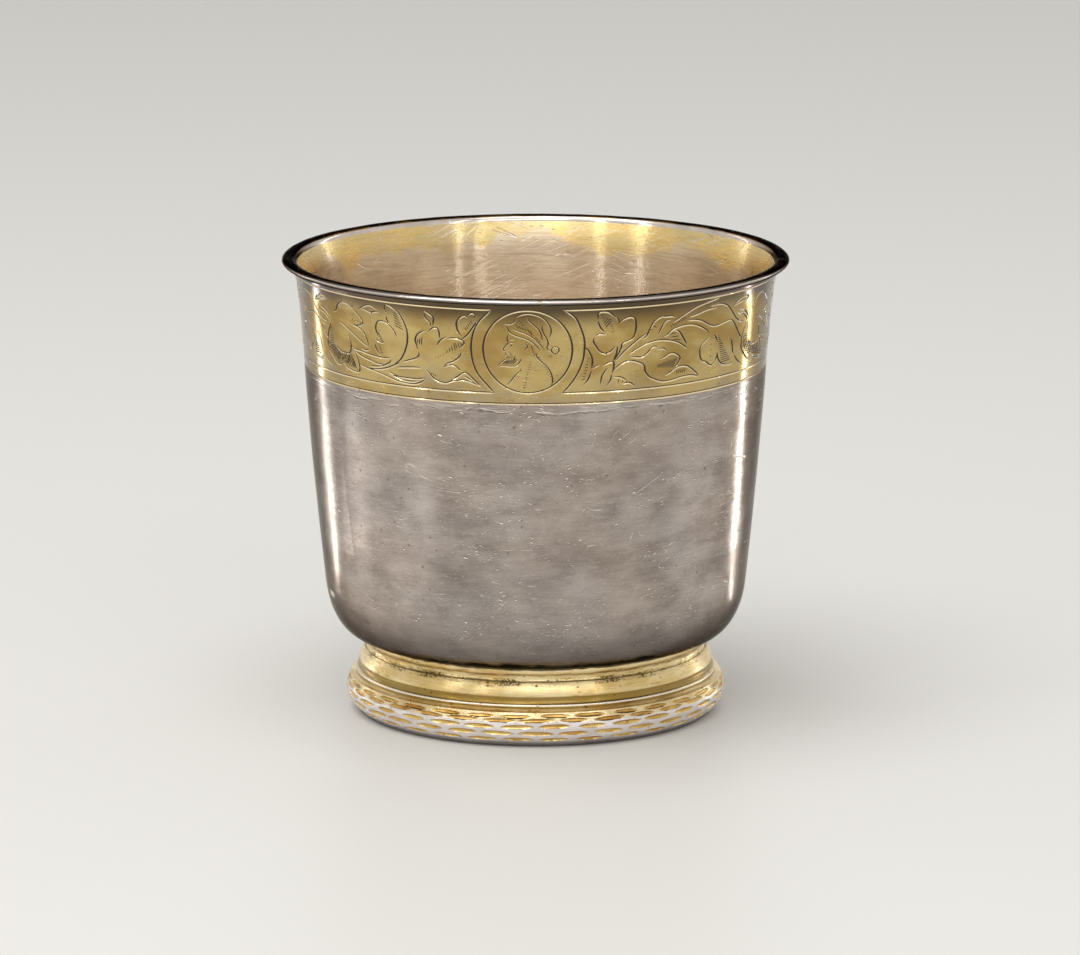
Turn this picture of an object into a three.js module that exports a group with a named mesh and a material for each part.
// Footed silver beaker: a raised bowl with a flared mouth, a lip wire round its edge and a
// built-up foot of five rings soldered one on the other.
// Millimetres, +Z up. The origin is the middle of the circle that the beaker stands on.

import * as THREE from 'three';

// Facets round the beaker, alike on every piece so that the flat seats meet face to face
const FACETS = 64;

// Sheet and strip that the pieces are made of
const WALL_THICKNESS = 1.1;
const FLOOR_THICKNESS = 1.2;
const STRIP_THICKNESS = 1.2;

// Foot rings, from the ground up
const REST_RING_HEIGHT = 0.6;
const REST_RING_WIDTH = 2.2;
const REST_RING_TUCK = 0.4;
const RIM_HEIGHT = 5.7;
const RIM_BULGE = 1.4;
const RIM_TUCK = 1.2;
const RIM_STEP = 0.5;
const BEAD_COVE_HEIGHT = 0.6;
const BEAD_COVE_SPREAD = 0.6;
const BEAD_COVE_DEPTH = 0.15;
const BEAD_WIRE_HEIGHT = 0.7;
const BEAD_WIRE_BULGE = 0.35;
const BEAD_STEP = 0.1;
const BAND_COVE_HEIGHT = 1.15;
const BAND_COVE_SPREAD = 0.25;
const BAND_COVE_DEPTH = 0.12;
const BAND_FACE_HEIGHT = 2.25;
const BAND_FACE_SPREAD = 0.95;
const BAND_FACE_BULGE = 0.12;
const BAND_STEP = 0.3;
const COLLAR_NECK_HEIGHT = 1.2;
const COLLAR_NECK_DEPTH = 0.2;
const COLLAR_ROLL_HEIGHT = 1.3;
const COLLAR_ROLL_BULGE = 0.3;
const COLLAR_SPREAD = 0.1;

// Bowl, from its floor up: how high each stretch is and how far it spreads
const FLOOR_RADIUS = 30;
const FOOT_INSET = 0.4;
const SHOULDER_HEIGHT = 8.9;
const SHOULDER_SPREAD = 6.7;
const SHOULDER_FLOOR_PULL = 3.6;
const SHOULDER_WALL_PULL = 5.2;
const SHOULDER_SLOPE = 0.13;
const WALL_HEIGHT = 39.1;
const WALL_SPREAD = 3.45;
const WALL_BULGE = 0.28;
const FRIEZE_HEIGHT = 12.5;
const FRIEZE_SPREAD = 1.15;
const FRIEZE_BULGE = -0.08;
const FLARE_HEIGHT = 5;
const FLARE_SPREAD = 1.2;
const FLARE_BULGE = -0.2;

// Lip wire on the edge of the bowl
const LIP_WIDTH = 2.6;
const LIP_THICKNESS = 1;
const LIP_EDGE_BULGE = 0.45;
const LIP_INNER_ROUND = 0.25;

// Flat cuts that a curved stretch of a profile is made of
const SHORT_CURVE = 3;
const LONG_CURVE = 7;

const SILVER = { color: 0xb9aea6, roughness: 0.34, metalness: 1 };
const DARK_SILVER = { color: 0x9c9184, roughness: 0.26, metalness: 1 };
const GILT = { color: 0xd2ad62, roughness: 0.3, metalness: 1 };
const WORN_GILT = { color: 0xcfbf9b, roughness: 0.32, metalness: 1 };

// Every profile point is a radius and a height
const at = (radius, height) => new THREE.Vector2(radius, height);

// Points from one profile point to another, standing off the straight line by bulge at the
// middle: outwards on a stretch that climbs the outside, or hollow where bulge is negative
function curved(start, end, bulge, steps) {
  const climb = end.clone().sub(start);
  const outwards = at(climb.y, -climb.x).normalize();
  const pull = start.clone().lerp(end, 0.5).addScaledVector(outwards, 2 * bulge);
  return new THREE.QuadraticBezierCurve(start, pull, end).getPoints(steps);
}

// One line out of several that start where the one before ends
function joined(...stretches) {
  return stretches.flatMap((points, i) => (i === 0 ? points : points.slice(1)));
}

// The closed outline of a ring of bent strip, from the outer line that it shows. Its back
// runs straight between the ends of that line, unless the strip is bent so far that its
// back follows the bend.
function strip(outerLine, bend = [outerLine[0], outerLine.at(-1)]) {
  const back = bend.map((point) => at(point.x - STRIP_THICKNESS, point.y)).reverse();
  return [...outerLine, ...back, outerLine[0].clone()];
}

// A named piece turned from its profile, with the height along Z
function turned(name, profile, finish) {
  const geometry = new THREE.LatheGeometry(profile, FACETS);
  geometry.rotateX(Math.PI / 2);
  const piece = new THREE.Mesh(geometry, new THREE.MeshStandardMaterial(finish));
  piece.name = name;
  return piece;
}

// Heights where one ring of the foot ends and the next begins
const rimBottom = REST_RING_HEIGHT;
const beadBottom = rimBottom + RIM_HEIGHT;
const bandBottom = beadBottom + BEAD_COVE_HEIGHT + BEAD_WIRE_HEIGHT;
const collarBottom = bandBottom + BAND_COVE_HEIGHT + BAND_FACE_HEIGHT;
const bowlSeat = collarBottom + COLLAR_NECK_HEIGHT + COLLAR_ROLL_HEIGHT;

// Outer radii of the foot, from the bowl down, each from the one above it
const collarTopRadius = FLOOR_RADIUS - FOOT_INSET;
const collarFootRadius = collarTopRadius + COLLAR_SPREAD;
const bandTopRadius = collarFootRadius + BAND_STEP;
const bandArrisRadius = bandTopRadius + BAND_FACE_SPREAD;
const bandFootRadius = bandArrisRadius + BAND_COVE_SPREAD;
const beadNeckRadius = bandFootRadius + BEAD_STEP;
const beadFootRadius = beadNeckRadius + BEAD_COVE_SPREAD;
const rimTopRadius = beadFootRadius + RIM_STEP;
const rimFootRadius = rimTopRadius - RIM_TUCK;

function footRestRing() {
  const outerLine = curved(at(rimFootRadius - REST_RING_TUCK, 0), at(rimFootRadius, rimBottom), 0.08, 2);
  const innerRadius = rimFootRadius - REST_RING_WIDTH;
  const profile = [...outerLine, at(innerRadius, rimBottom), at(innerRadius, 0), outerLine[0].clone()];
  return turned('foot_rest_ring', profile, WORN_GILT);
}

function footStampedRim() {
  const foot = at(rimFootRadius, rimBottom);
  const top = at(rimTopRadius, beadBottom);
  const outerLine = curved(foot, top, RIM_BULGE, LONG_CURVE);
  return turned('foot_stamped_rim', strip(outerLine, curved(foot, top, RIM_BULGE, SHORT_CURVE)), WORN_GILT);
}

function footBeadWire() {
  const wireBottom = beadBottom + BEAD_COVE_HEIGHT;
  const neck = at(beadNeckRadius, wireBottom);
  const cove = curved(at(beadFootRadius, beadBottom), neck, -BEAD_COVE_DEPTH, SHORT_CURVE);
  const wire = curved(neck, at(beadNeckRadius, bandBottom), BEAD_WIRE_BULGE, SHORT_CURVE + 1);
  return turned('foot_bead_wire', strip(joined(cove, wire)), GILT);
}

function footBand() {
  const arris = at(bandArrisRadius, bandBottom + BAND_COVE_HEIGHT);
  const cove = curved(at(bandFootRadius, bandBottom), arris, -BAND_COVE_DEPTH, SHORT_CURVE);
  const face = curved(arris, at(bandTopRadius, collarBottom), BAND_FACE_BULGE, SHORT_CURVE);
  return turned('foot_band', strip(joined(cove, face)), GILT);
}

function footCollar() {
  const waist = at(collarTopRadius, collarBottom + COLLAR_NECK_HEIGHT);
  const neck = curved(at(collarFootRadius, collarBottom), waist, -COLLAR_NECK_DEPTH, SHORT_CURVE);
  const roll = curved(waist, at(collarTopRadius, bowlSeat), COLLAR_ROLL_BULGE, SHORT_CURVE);
  return turned('foot_collar', strip(joined(neck, roll)), GILT);
}

// Heights and outer radii of the bowl where one stretch of its wall meets the next
const shoulderTop = bowlSeat + SHOULDER_HEIGHT;
const friezeBottom = shoulderTop + WALL_HEIGHT;
const flareBottom = friezeBottom + FRIEZE_HEIGHT;
const bowlTop = flareBottom + FLARE_HEIGHT;
const shoulderRadius = FLOOR_RADIUS + SHOULDER_SPREAD;
const friezeRadius = shoulderRadius + WALL_SPREAD;
const flareRadius = friezeRadius + FRIEZE_SPREAD;
const mouthRadius = flareRadius + FLARE_SPREAD;

// One side of the bowl's sheet, from the edge of its flat floor up to the mouth. The inside
// is the outside drawn in by the wall, with its floor lifted by the floor's thickness.
function bowlLine(drawnIn, floorHeight) {
  const floorEdge = at(FLOOR_RADIUS, floorHeight);
  const shoulder = new THREE.CubicBezierCurve(
    floorEdge,
    at(FLOOR_RADIUS + SHOULDER_FLOOR_PULL, floorHeight),
    at(shoulderRadius - drawnIn - SHOULDER_SLOPE * SHOULDER_WALL_PULL, shoulderTop - SHOULDER_WALL_PULL),
    at(shoulderRadius - drawnIn, shoulderTop),
  );
  const friezeFoot = at(friezeRadius - drawnIn, friezeBottom);
  const flareFoot = at(flareRadius - drawnIn, flareBottom);
  return joined(
    shoulder.getPoints(LONG_CURVE),
    curved(at(shoulderRadius - drawnIn, shoulderTop), friezeFoot, WALL_BULGE, SHORT_CURVE + 1),
    curved(friezeFoot, flareFoot, FRIEZE_BULGE, 2),
    curved(flareFoot, at(mouthRadius - drawnIn, bowlTop), FLARE_BULGE, SHORT_CURVE),
  );
}

function raisedBowl() {
  const floorTop = bowlSeat + FLOOR_THICKNESS;
  const outside = bowlLine(0, bowlSeat);
  const inside = bowlLine(WALL_THICKNESS, floorTop).reverse();
  return turned('raised_bowl', [at(0, bowlSeat), ...outside, ...inside, at(0, floorTop)], SILVER);
}

function lipWire() {
  const innerRadius = mouthRadius - WALL_THICKNESS;
  const lipTop = bowlTop + LIP_THICKNESS;
  const edgeRadius = innerRadius + LIP_WIDTH - LIP_EDGE_BULGE;
  const edge = curved(at(edgeRadius, bowlTop), at(edgeRadius, lipTop), LIP_EDGE_BULGE, LONG_CURVE - 1);
  const innerTop = at(innerRadius + LIP_INNER_ROUND, lipTop);
  const innerSide = at(innerRadius, lipTop - LIP_INNER_ROUND);
  const profile = [...edge, innerTop, innerSide, at(innerRadius, bowlTop), edge[0].clone()];
  return turned('lip_wire', profile, DARK_SILVER);
}

const beaker = new THREE.Group();
beaker.name = 'footed_beaker';
beaker.add(
  footRestRing(),
  footStampedRim(),
  footBeadWire(),
  footBand(),
  footCollar(),
  raisedBowl(),
  lipWire(),
);

export default beaker;
